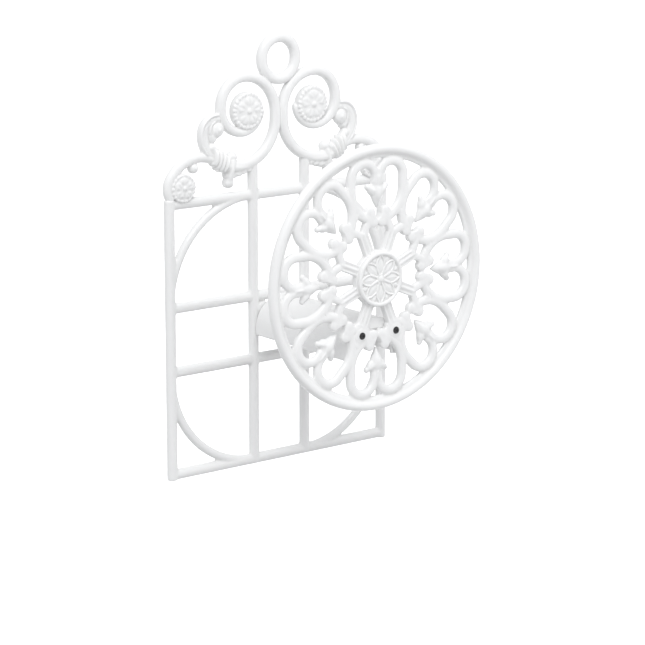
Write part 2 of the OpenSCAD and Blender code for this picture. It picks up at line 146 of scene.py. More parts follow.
# %% Free curves, and paths joined end to end
def curve(*points, step=1.0):
    """A smooth line through the points: between p1 and p2, with neighbours p0 and p3,
    (2 p1 + (p2 - p0) t + (2 p0 - 5 p1 + 4 p2 - p3) t^2 + (3 p1 - p0 - 3 p2 + p3) t^3)/2."""
    p = np.array(points, float)
    p = np.vstack([2*p[0] - p[1], p, 2*p[-1] - p[-2]])
    out = []
    for a, b, c, d in zip(p, p[1:], p[2:], p[3:]):
        t = np.linspace(0, 1, max(2, int(np.hypot(*(c - b))/step)), endpoint=False)[:, None]
        out.append((2*b + (c - a)*t + (2*a - 5*b + 4*c - d)*t**2 + (3*b - a - 3*c + d)*t**3)/2)
    return np.vstack(out + [p[-2:-1]])


def chain(*parts):
    """Joins paths end to end and leaves out the point that two neighbours share."""
    same = 0.2
    out = [parts[0]]
    for part in parts[1:]:
        gap = np.hypot(*(part[0] - out[-1][-1]))
        out.append(part[1:] if gap < same else part)
    return np.vstack(out)


def lengths(path):
    """Distance along the path at each point: the running sum of the steps."""
    return np.r_[0, np.cumsum(np.hypot(*np.diff(path, axis=0).T))]


def across(path):
    """The unit direction that lies to the left of the path at each point."""
    ahead = np.gradient(path, axis=0)
    ahead /= np.hypot(ahead[:, 0], ahead[:, 1])[:, None]
    return np.c_[-ahead[:, 1], ahead[:, 0]]


print("length of that quarter circle: %.1f mm" % lengths(arc(0, 0, 50, 0, 90))[-1])

# %% [markdown]
# ## Skins
#
# A solid is kept as (points, quads, ends): an array of points in millimetres, an array of
# four-sided faces, and one or two many-sided faces that close it. Typed corners would do for a box.
# For round forms the points come in rings, and the faces are laid between neighbours.


# %% From a grid of rings to a closed skin
def volume(solid):
    """Enclosed volume: the sum of p0 . (p1 x p2)/6 over a fan of triangles on each face. It is
    positive where the faces point outwards."""
    points, quads, ends = solid
    polygons = [points[quads]] + [points[end][None] for end in ends]
    return sum(float((p[:, :1]*np.cross(p[:, 1:-1], p[:, 2:])).sum()) for p in polygons)/6


def turned_over(solid):
    """The same solid with each face listed the other way round."""
    points, quads, ends = solid
    return points, quads[:, ::-1], [end[::-1] for end in ends]


def skin(rings, closed=False):
    """Joins rings of points, shape (stations, points, 3), into a skin that faces outwards."""
    m, n, _ = rings.shape
    here = np.arange(m*n).reshape(m, n)
    beside = np.roll(here, -1, axis=1)
    after = np.roll(here, -1, axis=0)
    quads = np.stack([here, beside, np.roll(after, -1, axis=1), after], axis=-1)
    quads = quads[:m if closed else m - 1].reshape(-1, 4)
    ends = [] if closed else [here[0][::-1], here[-1]]
    solid = (rings.reshape(-1, 3), quads, ends)
    return solid if volume(solid) > 0 else turned_over(solid)


square = np.array([[0, 0, 0], [1, 0, 0], [1, 0, 1], [0, 0, 1]], float)
print("volume of a cube of 2 mm: %.1f mm3" % volume(skin(np.stack([2*square, 2*square + [0, 2, 0]]))))


# %% [markdown]
# ## Rods
#
# Cast iron is poured into sand. The side that lay on the board is flat, with soft corners, and the
# side that was pressed into the sand is round. One section of that kind is swept along each path.
# It is kept in units of half a width and a whole depth, so one section serves every rod.


# %% The section of a cast rod
def section(shoulder=0.42):
    """A flat back with rounded corners and an elliptic front over shoulders of that height:
    u = cos t and v = shoulder + (1 - shoulder) sin t, with t from 0 to 180 degrees."""
    t = np.linspace(0, math.pi, 22)
    front = np.c_[np.cos(t), shoulder + (1 - shoulder)*np.sin(t)]
    corner = 0.16*np.array([[0, 1.3], [0.35, 0.35], [1.2, 0]])
    left = corner - [1, 0]
    right = left[::-1]*[-1, 1]
    return np.vstack([front, left, [[0, 0]], right])


print("points of the section:", len(section()))


# %% Sweeping it along a path
def rod(path, w, t, closed=False, back=0.0, taper=None, soft=(0, 0), sec=None):
    """A point (u, v) of the section goes to path + across u w/2, at depth back + v t. taper(s)
    gives the factors on width and depth, with s from 0 to 1 along the path. soft is the length
    over which each end is rounded off: at distance d from it the factor is
    sqrt(1 - (1 - d/soft)^2)."""
    sec = section() if sec is None else sec
    s = lengths(path)
    if closed:
        ahead = np.roll(path, -1, axis=0) - np.roll(path, 1, axis=0)
        ahead /= np.hypot(ahead[:, 0], ahead[:, 1])[:, None]
        side = np.c_[-ahead[:, 1], ahead[:, 0]]
    else:
        side = across(path)
    k = np.ones((len(path), 2))
    if taper is not None:
        k[:, 0], k[:, 1] = taper(s/s[-1])
    for length, d in zip(soft, (s, s[-1] - s)):
        if length:
            q = np.clip(d/length, 0.002, 1)
            k *= np.sqrt(1 - (1 - q)**2)[:, None]
    u = sec[:, 0]*k[:, :1]*w/2
    v = back + sec[:, 1]*k[:, 1:]*t
    return skin(np.stack([path[:, :1] + side[:, :1]*u, v, path[:, 1:] + side[:, 1:]*u], axis=-1), closed)


print("a rod of 10 x 8 x 100 mm holds %.0f mm3" % volume(rod(line(0, 0, 100, 0), 10, 8)))

# %% [markdown]
# ## Turned pieces, petals and placing
#
# Bosses, beads, the rim and the screws are round about an axis that stands out from the wall, as
# if turned on a lathe. Petals and leaves are small pillows with a point at one end or both. They
# could be sculpted, but a formula gives dozens of them that differ only in size and place.


# %% Turned pieces
def spun(profile, cx, cz, n):
    """Each (radius, depth) of the profile becomes a ring: x = cx + q cos b, z = cz + q sin b."""
    q, y = np.array(profile, float).T[:, :, None]
    b = np.linspace(0, 2*math.pi, n, endpoint=False)
    return np.stack([cx + q*np.cos(b), y + 0*b, cz + q*np.sin(b)], axis=-1)


def dome(cx, cz, r, y0, h, wall=0.0, n=28, rows=12):
    """A round boss of radius r cos p and height wall + h sin p over depth y0, with p from 0 to
    90 degrees, on a straight wall."""
    p = np.linspace(0, math.pi/2, rows)[1:-1]
    radius = np.r_[r, r*np.cos(p), 0.02*r]
    height = np.r_[wall, wall + h*np.sin(p), wall + h]
    if wall:
        radius, height = np.r_[r, radius], np.r_[0, height]
    return skin(spun(np.c_[radius, y0 + height], cx, cz, n))


def lathe(profile, cx, cz, n=96):
    """A solid turned from a profile that closes on itself, so it may leave a hole in the middle."""
    return skin(spun(profile, cx, cz, n).transpose(1, 0, 2), closed=True)


print("faces of a bead:", len(dome(0, 0, r=3, y0=0, h=3)[1]))


# %% Petals
def petal(cx, cz, angle, length, width, y0, h, keel=0.0, tip=0.6, n=18):
    """A pillow along the direction angle. With s from 0 to 1 along it and t from 0 to 180
    degrees over it, half its width is width/2 sin(pi s^tip) cos t, and its height is
    h sqrt(sin(pi s)) (sin t)^0.7. A keel adds that share of the height along the middle."""
    under = 0.6
    keel_width = 0.22
    ca, sa = math.cos(math.radians(angle)), math.sin(math.radians(angle))
    s = np.linspace(0.01, 0.99, n)[:, None]
    t = np.linspace(0, math.pi, 15)
    ridge = 1 + keel*np.exp(-(np.cos(t)/keel_width)**2)
    u = width/2*np.sin(math.pi*s**tip)*np.cos(t)
    v = h*np.sqrt(np.sin(math.pi*s))*np.sin(t)**0.7*ridge
    u, v = np.c_[u, np.zeros(n)], np.c_[v, np.full(n, -under)]
    d = (s - 0.5)*length
    return skin(np.stack([cx + d*ca - u*sa, y0 + v, cz + d*sa + u*ca], axis=-1))


print("points of a petal:", len(petal(0, 0, 0, 20, 10, 0, 5)[0]))


# %% Placing
def moved(solid, dx=0.0, dy=0.0, dz=0.0, turn=0.0):
    """Turns a solid about the depth axis by an angle in degrees, then shifts it."""
    points, quads, ends = solid
    c, s = math.cos(math.radians(turn)), math.sin(math.radians(turn))
    x, y, z = points.T
    return np.c_[x*c - z*s + dx, y + dy, x*s + z*c + dz], quads, ends


def mirrored(solid):
    """Mirrors a solid in the middle plane x = 0, with its faces still outwards."""
    points, quads, ends = turned_over(solid)
    return points*[-1, 1, 1], quads, ends


bead = dome(5, 0, r=3, y0=0, h=3)
print("a bead of %.1f mm3 has %.1f when mirrored" % (volume(bead), volume(mirrored(bead))))

# %% [markdown]
# ## From solids to a casting
#
# The solids of one casting overlap, as the blocks of a wooden pattern do before its maker fills
# the corners with wax. A boolean union would leave every crease sharp, and be slow with so many
# pieces. The Remesh modifier in voxel mode lays one skin round all of them on a fine grid,
# and a few rounds of smoothing fill the creases as wax and paint do.
#
# The skin also gets an attribute that says where it is hollow, which the enamel uses later to paint shade
# into the hollows.


# %% From solids to a mesh
def to_mesh(name, solids):
    """One mesh object from a list of solids. Millimetres become metres, and depth becomes -Y,
    which turns the solids inside out, so their faces are turned over."""
    points, quads, ends = [], [], []
    base = 0
    for p, q, e in map(turned_over, solids):
        points.append(np.c_[p[:, 0], -p[:, 1], p[:, 2] - EYE_Z]*MM)
        quads.append(q + base)
        ends += [(end + base).tolist() for end in e]
        base += len(p)
    mesh = bpy.data.meshes.new(name)
    mesh.from_pydata(np.vstack(points).tolist(), [], np.vstack(quads).tolist() + ends)
    mesh.validate()
    obj = bpy.data.objects.new(name, mesh)
    bpy.context.collection.objects.link(obj)
    return obj


# %% Hollows and ridges
def mark_creases(mesh, rounds=3, gain=2.2):
    """Writes the vertex attribute "crease", above 0.5 in hollows and below 0.5 on ridges:
    0.5 + gain n . (mean of the neighbours - p)/edge, with n the normal and edge the mean length
    of an edge, averaged over a few rounds."""
    n = len(mesh.vertices)
    points = read(mesh.vertices, "co", 3)
    normals = read(mesh.vertices, "normal", 3)
    a, b = read(mesh.edges, "vertices", 2, np.int32).T
    neighbours = np.maximum(np.bincount(np.r_[a, b], minlength=n), 1).astype(np.float32)

    def mean(x):
        """Mean of x over the neighbours of each vertex."""
        out = np.zeros_like(x)
        np.add.at(out, a, x[b])
        np.add.at(out, b, x[a])
        return (out.T/neighbours).T

    edge = float(np.linalg.norm(points[a] - points[b], axis=1).mean())
    bend = ((mean(points) - points)*normals).sum(1)/edge
    for _ in range(rounds):
        bend = 0.4*bend + 0.6*mean(bend)
    crease = mesh.attributes.new("crease", "FLOAT", "POINT")
    crease.data.foreach_set("value", np.clip(0.5 + gain*bend, 0, 1).astype(np.float32))


# %% Castings
def casting(name, solids, grid, relax):
    """Fuses the solids on a grid of that many millimetres and relaxes the skin."""
    obj = to_mesh(name, solids)
    fuse = obj.modifiers.new("fuse", "REMESH")
    fuse.mode = "VOXEL"
    fuse.voxel_size = grid*MM*1
    fuse.use_smooth_shade = True
    wax = obj.modifiers.new("relax", "SMOOTH")
    wax.factor, wax.iterations = 0.5, relax
    deps = bpy.context.evaluated_depsgraph_get()
    mesh = bpy.data.meshes.new_from_object(obj.evaluated_get(deps))
    obj.modifiers.clear()
    obj.data = mesh
    mesh.name = name
    mark_creases(mesh)
    print("%-22s %7d faces" % (name, len(mesh.polygons)))
    return obj


# %% [markdown]
# ## The frame
#
# On the real holder all bars, rails and corner arcs are one flat casting, in which the bars lie
# slightly proud of the rails that they cross. Rods along straight lines and quarter circles give
# that, with each rail a little thinner than the bars, so the crossing stays visible in the skin.


# %% Bars, rails and corner arcs
def bars():
    """The side bars from end to end, and the inner bars, which run up into the crest."""
    end, foot, top = BAR_W/2 - 0.1, -3, RAILS[-1] + 35
    out = []
    for s in (-1, 1):
        out.append(rod(line(s*SIDE_X, RAILS[0] - end, s*SIDE_X, RAILS[-1] + end), BAR_W, BAR_T))
        out.append(rod(line(s*INNER_X, foot, s*INNER_X, top), BAR_W, BAR_T))
    return out


def rails():
    """The four rails, from the bottom up, each sunk under the bars' fronts."""
    sunk = (0.3, 0.9, 0.9, 0.9)
    return [rod(line(-SIDE_X, z, SIDE_X, z), BAR_W, BAR_T - d) for z, d in zip(RAILS, sunk)]


def corner_arcs(w=9, t=7):
    """A quarter circle in each corner, from a side bar to the inner bar beside it."""
    r = SIDE_X - INNER_X
    right = [rod(arc(INNER_X, RAILS[-1] - r, r, 0, 90), w, t), rod(arc(INNER_X, r, r, -90, 0), w, t)]
    return right + [mirrored(s) for s in right]


print("corner arcs of radius %.1f mm" % (SIDE_X - INNER_X))


# %% Lugs for the saddle's screws
def lugs(r=7.5, back=3.0):
    """A round lug behind each rear screw, and the strap that ties it to the inner bar."""
    out = []
    for s in (-1, 1):
        out.append(dome(s*SCREW_DX, SCREW_Z, r, back, 0.3, wall=4.6))
        out.append(rod(line(s*SCREW_DX, SCREW_Z, s*(INNER_X - 1), SCREW_Z), 14.4, 4.8, back=back))
    return out


plate = casting("frame_casting", bars() + rails() + corner_arcs() + lugs(), grid=1.05, relax=2)

# %% [markdown]
# ## The volutes of the crest
#
# Each half of the crest hangs on one long rod. Its tail sweeps down from a collar and up beside
# the middle line, and then the rod winds inwards round a flower as a volute. A pattern maker draws
# such a scroll with compasses, so it is four quarter circles here. A spiral formula would run as
# smoothly, but would not touch its twin along the middle line. Only the right half is drawn.

# %% Measures of a volute
ROD_W, ROD_T = 10.5, 8.5
STEM_X = (ROD_W - 1.2)/2
TAIL_R = 45.0
TAIL_X, TAIL_Z = STEM_X + TAIL_R, RAILS[-1] + 31 + TAIL_R
NECK_Z = TAIL_Z + 5
QUARTER_R = (38.5, 29.0, 26.5, 23.5)
COLLAR_TURN = -58.0
print("tail round %.2f, %.1f, volute from height %.1f" % (TAIL_X, TAIL_Z, NECK_Z))


# %% The rod of tail and volute
def quarters():
    """Centre, radius and first angle of the four quarter circles. Where the radius drops by d at
    angle a, the centre moves by d (cos a, sin a), which keeps the two arcs tangent."""
    x, z, a = STEM_X + QUARTER_R[0], NECK_Z, 180
    out = []
    for r, after in zip(QUARTER_R, QUARTER_R[1:] + QUARTER_R[-1:]):
        out.append((x, z, r, a))
        a -= 90
        x += (r - after)*math.cos(math.radians(a))
        z += (r - after)*math.sin(math.radians(a))
    return out


def swirl_taper(s):
    """The rod keeps its size for 72 % of its length, and then slims to three quarters of it."""
    k = np.where(s < 0.72, 1.04 - 0.02*s, 1.03 - (s - 0.72))
    return k, k


def swirl():
    """Tail, straight neck and quarter circles as one rod, rounded off at the inner end."""
    turns = [arc(x, z, r, a, end) for (x, z, r, a), end in zip(quarters(), (90, 0, -90, -182))]
    tail = arc(TAIL_X, TAIL_Z, TAIL_R, COLLAR_TURN, -180)
    path = chain(tail, line(STEM_X, TAIL_Z, STEM_X, NECK_Z), *turns)
    print("rod of a volute: %.0f mm long" % lengths(path)[-1])
    return [rod(path, ROD_W, ROD_T, sec=section(0.52), taper=swirl_taper, soft=(0, 6))]


# %% [markdown]
# ## Flowers
#
# A flower sits inside each volute and on each shoulder: a low disc with a ring of beads at its
# edge, and inside it broad petals with a furrow, round a button. Beads and petals are the same
# pillow at two sizes. A small seeded shift of each keeps them from looking machined.


# %% Flowers
def wreath(cx, cz, rng, count, at, length, share, base, high, keel, tip):
    """Petals on a circle of radius at. Each is as wide as that share of its arc, 2 pi at/count,
    and up to 7 % of a step out of place."""
    first, play = 20, 0.07
    out = []
    for i in range(count):
        a = 360*(i + rng.uniform(-play, play))/count + first
        x, z = cx + at*math.cos(math.radians(a)), cz + at*math.sin(math.radians(a))
        out.append(petal(x, z, a, length, 2*math.pi*at/count*share, base, high, keel, tip, n=14))
    return out


def flower(cx, cz, r, t, beads, petals, seed):
    """A flower of radius r whose button stands out to about depth t."""
    rng = np.random.default_rng(seed)
    out = [dome(cx, cz, r - 0.7, 0, 3.2, wall=t - 4.2, n=60)]
    out += wreath(cx, cz, rng, beads, 0.85*r, 0.27*r, 1.10, t - 3.6, 2.1, 0.0, 1.15)
    out += wreath(cx, cz, rng, petals, 0.46*r, 0.64*r, 1.06, t - 2.6, 2.2, -0.30, 1.35)
    return out + [dome(cx, cz, 0.16*r, t - 1.6, 2.0)]


def volute_flower():
    """The flower sits a little inwards and down from the centre of the volute's last turn."""
    x, z = quarters()[-1][:2]
    print("flower of the volute at %.2f, %.2f" % (x - 5, z - 2))
    return flower(x - 5, z - 2, r=19.5, t=10.4, beads=24, petals=5, seed=3)


# %% [markdown]
# ## Collar
#
# Where the tail ends, the leaf curl and the shoulder scroll spring from it, and a wrapped binding
# covers the joint. It is a short thick core with four ribs round it, each at more of a slant than
# the last. A modelled rope would be finer than the real casting shows.


# %% Collar
def towards(angle):
    """Unit step (cos a, sin a) in the direction of an angle in degrees."""
    return np.array([math.cos(math.radians(angle)), math.sin(math.radians(angle))])


def on_tail(radius, angle):
    """Polar coordinates about the centre of the tail: x = cx + r cos a, z = cz + r sin a."""
    return np.array([TAIL_X, TAIL_Z]) + radius*towards(angle)


COLLAR = on_tail(TAIL_R, COLLAR_TURN)
COLLAR_DIR = 90 + COLLAR_TURN


def rib_taper(s):
    """A rib keeps its width, and its depth is 0.5 + 0.5 sqrt(1 - (2 s - 1)^2)."""
    return 1.0, 0.5 + 0.5*np.sqrt(np.clip(1 - (2*s - 1)**2, 0, 1))


def collar():
    """The core, and for each rib its place along the core, half its length and its slant."""
    ahead = towards(COLLAR_DIR)
    out = [rod(line(*(COLLAR - 8*ahead), *(COLLAR + 9*ahead)), 18.0, 9.6)]
    for place, half, slant in ((-6.0, 9.6, 8), (-1.2, 11.0, 14), (4.0, 11.4, 20), (8.6, 9.6, 24)):
        mid, lean = COLLAR + place*ahead, half*towards(COLLAR_DIR + 90 - slant)
        out.append(rod(line(*(mid - lean), *(mid + lean), step=0.8), 5.2, 12.6, taper=rib_taper,
                       soft=(2.5, 2.5)))
    return out


print("collar at %.1f, %.1f" % tuple(COLLAR))

# %% [markdown]
# ## Leaf curl
#
# From the collar a broad band rises and curls back until it leans on the volute. It has a raised
# outer edge, a ball under its end, and two leaves along its inner side. The band's line was drawn
# freehand by the pattern maker, so a smooth curve through ten points suits it better than arcs.

# %% Leaf curl
CURL_LINE = curve((77.2, 315.1), (84.5, 319.0), (90.2, 325.5), (93.2, 333.0), (93.8, 340.5),
                  (91.6, 347.6), (87.0, 352.6), (81.0, 354.8), (74.8, 354.0), (70.6, 350.8))
UPPER_LEAF = curve((79.4, 330.6), (81.8, 334.2), (83.6, 339.0), (83.4, 343.5))
LOWER_LEAF = curve((72.5, 317.0), (79.0, 320.8), (83.6, 325.6), (87.0, 331.0))


def band_taper(s):
    """The band is widest before its middle: 0.82 + 0.20 sin(pi s 1.15), up to its end."""
    return 0.82 + 0.20*np.sin(math.pi*np.minimum(1, s*1.15)), 1.0


def leaf_curl():
    """The band, its raised edge, a low web with a lip round the ball, the ball with its button,
    and the two leaves."""
    edge = CURL_LINE - 3.6*across(CURL_LINE)
    return [rod(CURL_LINE, 11.4, 7.2, taper=band_taper, soft=(0, 7)),
            rod(edge[6:-4], 4.0, 8.4, soft=(10, 8)),
            dome(82.0, 344.4, r=11.4, y0=0, h=2.4, wall=4.2),
            rod(arc(78.0, 343.8, 8.8, -60, 105), 3.4, 8.0, soft=(8, 8)),
            dome(77.6, 343.6, r=7.2, y0=0.6, h=3.4, wall=5.6),
            dome(77.2, 343.4, r=3.2, y0=7.4, h=3.2),
            rod(UPPER_LEAF, 10.8, 7.4, soft=(5, 5)),
            rod(LOWER_LEAF, 9.4, 8.4, soft=(5, 5))]


print("band of the leaf curl: %.0f mm long" % lengths(CURL_LINE)[-1])

# %% [markdown]
# ## Clasp and leaf spray
#
# A clasp with a bud at both ends crosses the tail beside the collar. From under it a lobed leaf
# lies along the tail and fades out. Its lobes get smaller one after the other, so they are petals
# at six places, given by their angle and distance from the tail's centre.


# %% Clasp
def clasp_taper(s):
    """Narrow in the middle, 0.85 + 0.22 |2 s - 1|, and full there, 0.74 + 0.26 sin(pi s)."""
    return 0.85 + 0.22*np.abs(2*s - 1), 0.74 + 0.26*np.sin(math.pi*s)


def clasp():
    """A short rod across the tail, and the buds on its ends."""
    top, low = (58.4, 314.6), (63.0, 289.4)
    return [rod(curve(top, (60.2, 308.0), (62.2, 300.0), low), 8.2, 10.8, taper=clasp_taper, soft=(2, 2)),
            dome(*top, r=5.9, y0=0, h=7.0, wall=1.6),
            dome(*low, r=6.1, y0=0, h=7.2, wall=1.8)]


print("solids of the clasp:", len(clasp()))


# %% Leaf spray
LOBES = ((-75.5, 55.6, 15, 9.0, 34), (-79, 53.2, 17, 9.8, 26), (-86.5, 52.0, 16, 8.8, 24),
         (-94, 50.8, 15, 7.8, 22), (-101.5, 50.2, 13, 6.6, 20), (-108.5, 49.7, 11, 5.2, 18))


def leaf_spray():
    """The leaf's back along the tail, its low lower side, and the lobes. A lobe is its angle and
    distance from the tail's centre, its length and width, and how far it turns off the tail."""
    out = [rod(arc(TAIL_X, TAIL_Z, 46.4, -69, -112), 11.2, 9.9, soft=(0, 9),
               taper=lambda s: (1.0 - 0.35*s, 1.0 - 0.14*s)),
           rod(arc(TAIL_X, TAIL_Z, 50.2, -112, -72), 6.4, 6.6, soft=(9, 0))]
    for angle, distance, length, width, off in LOBES:
        x, z = on_tail(distance, angle)
        out.append(petal(x, z, angle - 90 + off, length, width, 0.2, 8.0, keel=-0.12, tip=0.8))
    return out


print("lobes of a leaf spray:", len(LOBES))

# %% [markdown]
# ## Shoulder scroll
#
# A flat arch runs from the collar to the frame's corner and turns round a smaller flower there.
# Both arcs share their tangent at 30 degrees. The large radius follows from that, and from where
# the arch has to start: x = X + R cos a at both ends gives R from the distance between them.

# %% Shoulder scroll
TURN_X, TURN_Z, TURN_R = SIDE_X - 15.5, RAILS[-1] + BAR_W/2 + 10, 17.0
JOINT, SPRING = 30, 115
FORK = COLLAR + 8*towards(COLLAR_DIR)
SHOULDER_R = (TURN_X + TURN_R*towards(JOINT)[0] - FORK[0] - 2)/(towards(JOINT) - towards(SPRING))[0]
SHOULDER = np.array([TURN_X, TURN_Z]) - (SHOULDER_R - TURN_R)*towards(JOINT)


def arch_taper(s):
    """A little slimmer at both ends: 0.9 + 0.1 sin(pi s)."""
    k = 0.9 + 0.1*np.sin(math.pi*s)
    return k, k


def shoulder_scroll():
    """The arch and its turn, a knob under the arch, and the flower."""
    path = chain(arc(*SHOULDER, SHOULDER_R, 121, JOINT), arc(TURN_X, TURN_Z, TURN_R, JOINT, -38))
    knob = SHOULDER + (SHOULDER_R - 9.2)*towards(78)
    out = [rod(path, 11, 8, taper=arch_taper), dome(*knob, r=5.6, y0=0, h=6.0, wall=2.4)]
    return out + flower(TURN_X + 0.8, TURN_Z + 0.4, r=15.0, t=10.4, beads=18, petals=5, seed=5)


print("shoulder scroll: radius %.1f mm round %.1f, %.1f" % (SHOULDER_R, *SHOULDER))

# %% [markdown]
# ## Crest castings and the hanging ring
#
# The left half is the right one mirrored. Frame, crest and ring run into each other with flat
# backs. Two skins in one plane would flicker where they overlap, so each casting stands a few
# tenths of a millimetre further out than its neighbour.

# %% Crest castings and the hanging ring
BACK_RIGHT, BACK_LEFT = 0.2, 0.35
crest = swirl() + volute_flower() + collar() + leaf_curl() + clasp() + leaf_spray() + shoulder_scroll()
crest_right = casting("crest_right", [moved(s, dy=BACK_RIGHT) for s in crest], grid=0.62, relax=3)
crest_left = casting("crest_left", [moved(mirrored(s), dy=BACK_LEFT) for s in crest], grid=0.62, relax=3)
RING_W, RING_T = 11.0, 9.0
ring_line = ring_path(0, EYE_Z, wheel_radius("hanging_eye") - RING_W/2)
ring = casting("hanging_ring", [rod(ring_line, RING_W, RING_T, closed=True, sec=section(0.52))],
               grid=0.7, relax=3)

# %% [markdown]
# ## The saddle
#
# The saddle is an arch of even thickness with short straight legs, and a flange at both ends for
# the screws. Its outline is carried along the depth, like a tunnel. The rings at both ends are
# drawn in a little, which rounds the edges better than a bevel on a mesh with so few corners.

# %% Saddle
ARCH_T, FLANGE_W, FLANGE_T = 3.0, 12.0, 4.0


def arch_line(r, leg):
    """From the left foot over the crown to the right foot, for columns of radii and leg lengths:
    x = r cos a and z = centre + r sin a, with a from 180 to 0 degrees, and a foot at each end."""
    a = np.radians(np.linspace(180, 0, 64))
    return np.hstack([-r, r*np.cos(a), r]), ARCH_Z + np.hstack([-leg, r*np.sin(a), -leg])


def tunnel(r_out, r_in, y0, y1, spans=12, soft=0.8):
    """The space between two arches over a depth. The outline is drawn in by 0.9 and 0.3 of soft
    at the two outermost rings of both ends."""
    y = np.r_[y0, y0 + 0.3*soft, np.linspace(y0 + soft, y1 - soft, spans), y1 - 0.3*soft, y1]
    drawn = soft*np.r_[0.9, 0.3, np.zeros(spans), 0.3, 0.9][:, None]
    x_out, z_out = arch_line(r_out - drawn, ARCH_LEG - drawn)
    x_in, z_in = arch_line(r_in + drawn, ARCH_LEG - drawn)
    x = np.hstack([x_out, x_in[:, ::-1]])
    z = np.hstack([z_out, z_in[:, ::-1]])
    return skin(np.stack([x, np.repeat(y[:, None], x.shape[1], axis=1), z], axis=-1))


saddle = casting("saddle_casting", [
    tunnel(ARCH_R, ARCH_R - ARCH_T, SADDLE_Y0, SADDLE_Y1, spans=40),
    tunnel(ARCH_R, ARCH_R - FLANGE_W, SADDLE_Y0, SADDLE_Y0 + FLANGE_T),
    tunnel(ARCH_R, ARCH_R - FLANGE_W, SADDLE_Y1 - FLANGE_T, SADDLE_Y1),
], grid=0.95, relax=2)

# %% [markdown]
# ## The disc's rim
#
# The disc is a second casting. Its parts are drawn round its own centre with their backs at depth
# 0, along the line from the centre to the right, and then turned to their places. The rim is a
# round rod with a flat at its back, from which a hollow curve runs down to a ledge on the inside.
# It is turned as a whole, because a swept rod could not carry a ledge on one side only.

# %% Rim
RIM_W, RIM_T, LEDGE_W = 10.0, 9.0, 4.0
LEDGE_R = DISC_R - RIM_W - LEDGE_W
ALL_ROUND = 640


def on_disc(solid, turn=0.0):
    """Turns a part of the disc about its centre and sets it on the saddle's front."""
    return moved(solid, dy=DISC_Y, dz=DISC_Z, turn=turn)


def rim():
    """The rod's section is a circle of radius r at height c, cut where it meets the wall at
    asin(c/r). The ledge is a short list of corners towards the centre."""
    r = RIM_W/2
    c, mid = RIM_T - r, DISC_R - r
    foot = math.degrees(math.asin(c/r))
    hollow = [(mid - 5.2, 5.6), (mid - 6.2, 5.05), (mid - 7.3, 4.8)]
    ledge = [(LEDGE_R + 1.0, 4.5), (LEDGE_R + 0.35, 4.0), (LEDGE_R, 3.1), (LEDGE_R, 0.9),
             (LEDGE_R + 0.3, 0.25), (LEDGE_R + 0.9, 0)]
    a = np.radians(np.linspace(-foot, 152, 30))
    round_part = np.c_[mid + r*np.cos(a), c + r*np.sin(a)]
    return [on_disc(lathe(np.vstack([round_part, hollow, ledge]), 0, 0, n=ALL_ROUND))]


print("ledge's inner radius: %.1f mm" % LEDGE_R)

# %% [markdown]
# ## Hearts
#
# Eight hearts fill the ring between hub and rim. A heart is two mirrored scrolls, and a lily on a
# stem between them. A scroll springs from a knuckle, runs out and turns back at the rim. The lily
# is a pointed bud with two curled barbs. Eight drawings would differ, so one heart is drawn along
# the line to the right and turned eight times, as a founder repeats one pattern.

# %% The scrolls of a heart
SIDE_U, SIDE_V, SIDE_R, LOBE_R = 88.0, 1.2, 31.0, 15.0
LOBE_U = LEDGE_R - LOBE_R - 3.75
FLAT_BACK = 0.3


def heart_taper(s):
    """Full size up to s = 0.7, and 1 - 0.55 (s - 0.7) from there."""
    k = 1.0 - 0.55*np.maximum(0, s - 0.7)
    return k, k


def heart_scroll(m):
    """One scroll, on the side m of the heart's axis, and the low web to the rim's ledge."""
    top = SIDE_V + SIDE_R
    path = chain(arc(SIDE_U, SIDE_V, SIDE_R, 168, 90), line(SIDE_U, top, LOBE_U, top),
                 arc(LOBE_U, top - LOBE_R, LOBE_R, 90, -122))
    web = arc(0, 0, LEDGE_R - 0.9, m*5.5, m*15.5)
    return [rod(path*[1, m], 9.7, 6.9, sec=section(0.58), back=FLAT_BACK, taper=heart_taper, soft=(0, 4)),
            rod(web, 5, 4.4, soft=(4, 4))]


# %% The lily of a heart, and the disc's grille
def lily():
    """The bud in two layers, its stem with a narrow ridge, and a barb on both sides."""
    out = [petal(86, 0, 180, 35.5, 16.5, 0.8, 5.6, keel=0.12, tip=0.92, n=26),
           petal(84.5, 0, 180, 22, 11.5, 2.0, 6.0, tip=0.9),
           rod(line(91, 0, 107, 0), 10.5, 5.6, soft=(3, 2)),
           rod(line(88, 0, 105, 0), 3.6, 7.6, soft=(6, 6))]
    for m in (1, -1):
        out.append(petal(86.8, m*6.4, m*54, 18.0, 10.6, 0.8, 5.6, keel=0.12, tip=0.85))
        out.append(dome(90.4, m*11.6, r=3.1, y0=0, h=2.6, wall=2.4))
    return out


HEARTS = 8
heart = heart_scroll(1) + heart_scroll(-1) + lily()
hearts = [on_disc(s, 360/HEARTS*i - 90) for i in range(HEARTS) for s in heart]
grille = casting("disc_grille_casting", rim() + hearts, grid=1.05, relax=2)

# %% [markdown]
# ## Hub, spokes and knuckles
#
# A round hub carries eight spokes, and each spoke forks in a knuckle. That is a diamond of four
# bars round a hole, with an arm to each side that ends in two lobes. In the two knuckles at the
# bottom the diamond is filled, because the screws go through them. A spoke has a ridge along its
# middle and a groove on both sides of it, so it gets a section of its own.

# %% Spokes
HUB_R, HUB_T = 28.0, 8.0
KNUCKLE_U = math.hypot(SCREW_DX, DISC_Z - SCREW_Z) + 1
FILLED = (5, 6)


